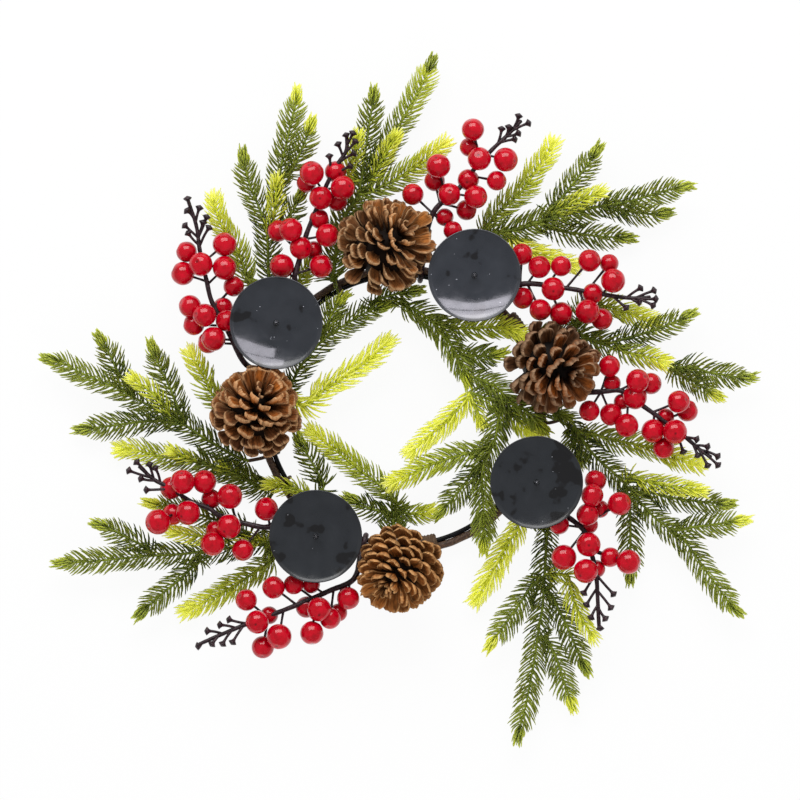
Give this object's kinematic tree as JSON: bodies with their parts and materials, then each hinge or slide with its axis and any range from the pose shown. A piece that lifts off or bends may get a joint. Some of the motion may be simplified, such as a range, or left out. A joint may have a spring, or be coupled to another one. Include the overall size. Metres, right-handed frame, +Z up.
{
  "type": "candle wreath",
  "caption": "Table wreath for pillar candles: a wire ring with dished candle plates on posts, dressed with pine picks, berry sprays and pinecones.",
  "frame": {"origin": "on the table, below the middle of the wreath's outline", "axes": "+Z up out of the table, +X along the longest side, to the right when the wreath is seen from above with +Y at the top"},
  "size_m": [0.3974, 0.3831, 0.061],
  "materials": {
    "black_wire": "gloss",
    "black_enamel": "gloss",
    "pin_metal": "gloss",
    "brown_stem": "satin",
    "brown_tape": "matt crepe",
    "pine_needles": "satin",
    "red_berries": "gloss lacquer",
    "pinecone_scales": "natural",
    "tie_wire": "satin"
  },
  "bodies": {
    "root": {"wire_ring": "black_wire", "stem_ring": "brown_stem", "tape_sleeve_1": "brown_tape", "tape_sleeve_2": "brown_tape", "tape_sleeve_3": "brown_tape", "tape_sleeve_4": "brown_tape", "tape_sleeve_5": "brown_tape", "tape_sleeve_6": "brown_tape", "tape_sleeve_7": "brown_tape", "tape_sleeve_8": "brown_tape", "candle_dish_1": "black_enamel", "candle_dish_2": "black_enamel", "candle_dish_3": "black_enamel", "candle_dish_4": "black_enamel", "candle_pin_1": "pin_metal", "candle_pin_2": "pin_metal", "candle_pin_3": "pin_metal", "candle_pin_4": "pin_metal", "dish_post_1": "black_wire", "dish_post_2": "black_wire", "dish_post_3": "black_wire", "dish_post_4": "black_wire", "pinecone_1": "pinecone_scales", "pinecone_2": "pinecone_scales", "pinecone_3": "pinecone_scales", "pinecone_4": "pinecone_scales", "cone_wire_1": "tie_wire", "cone_wire_2": "tie_wire", "cone_wire_3": "tie_wire", "cone_wire_4": "tie_wire", "berry_spray_1": "red_berries", "berry_spray_2": "red_berries", "berry_spray_3": "red_berries", "berry_spray_4": "red_berries", "berry_spray_5": "red_berries", "berry_spray_6": "red_berries", "berry_spray_7": "red_berries", "berry_spray_8": "red_berries", "pine_pick_1": "pine_needles", "pine_pick_2": "pine_needles", "pine_pick_3": "pine_needles", "pine_pick_4": "pine_needles", "pine_pick_5": "pine_needles", "pine_pick_6": "pine_needles", "pine_pick_7": "pine_needles", "pine_pick_8": "pine_needles", "pine_pick_9": "pine_needles", "pine_pick_10": "pine_needles", "pine_pick_11": "pine_needles", "pine_pick_12": "pine_needles", "pine_pick_13": "pine_needles", "pine_pick_14": "pine_needles"}
  },
  "joints": []
}
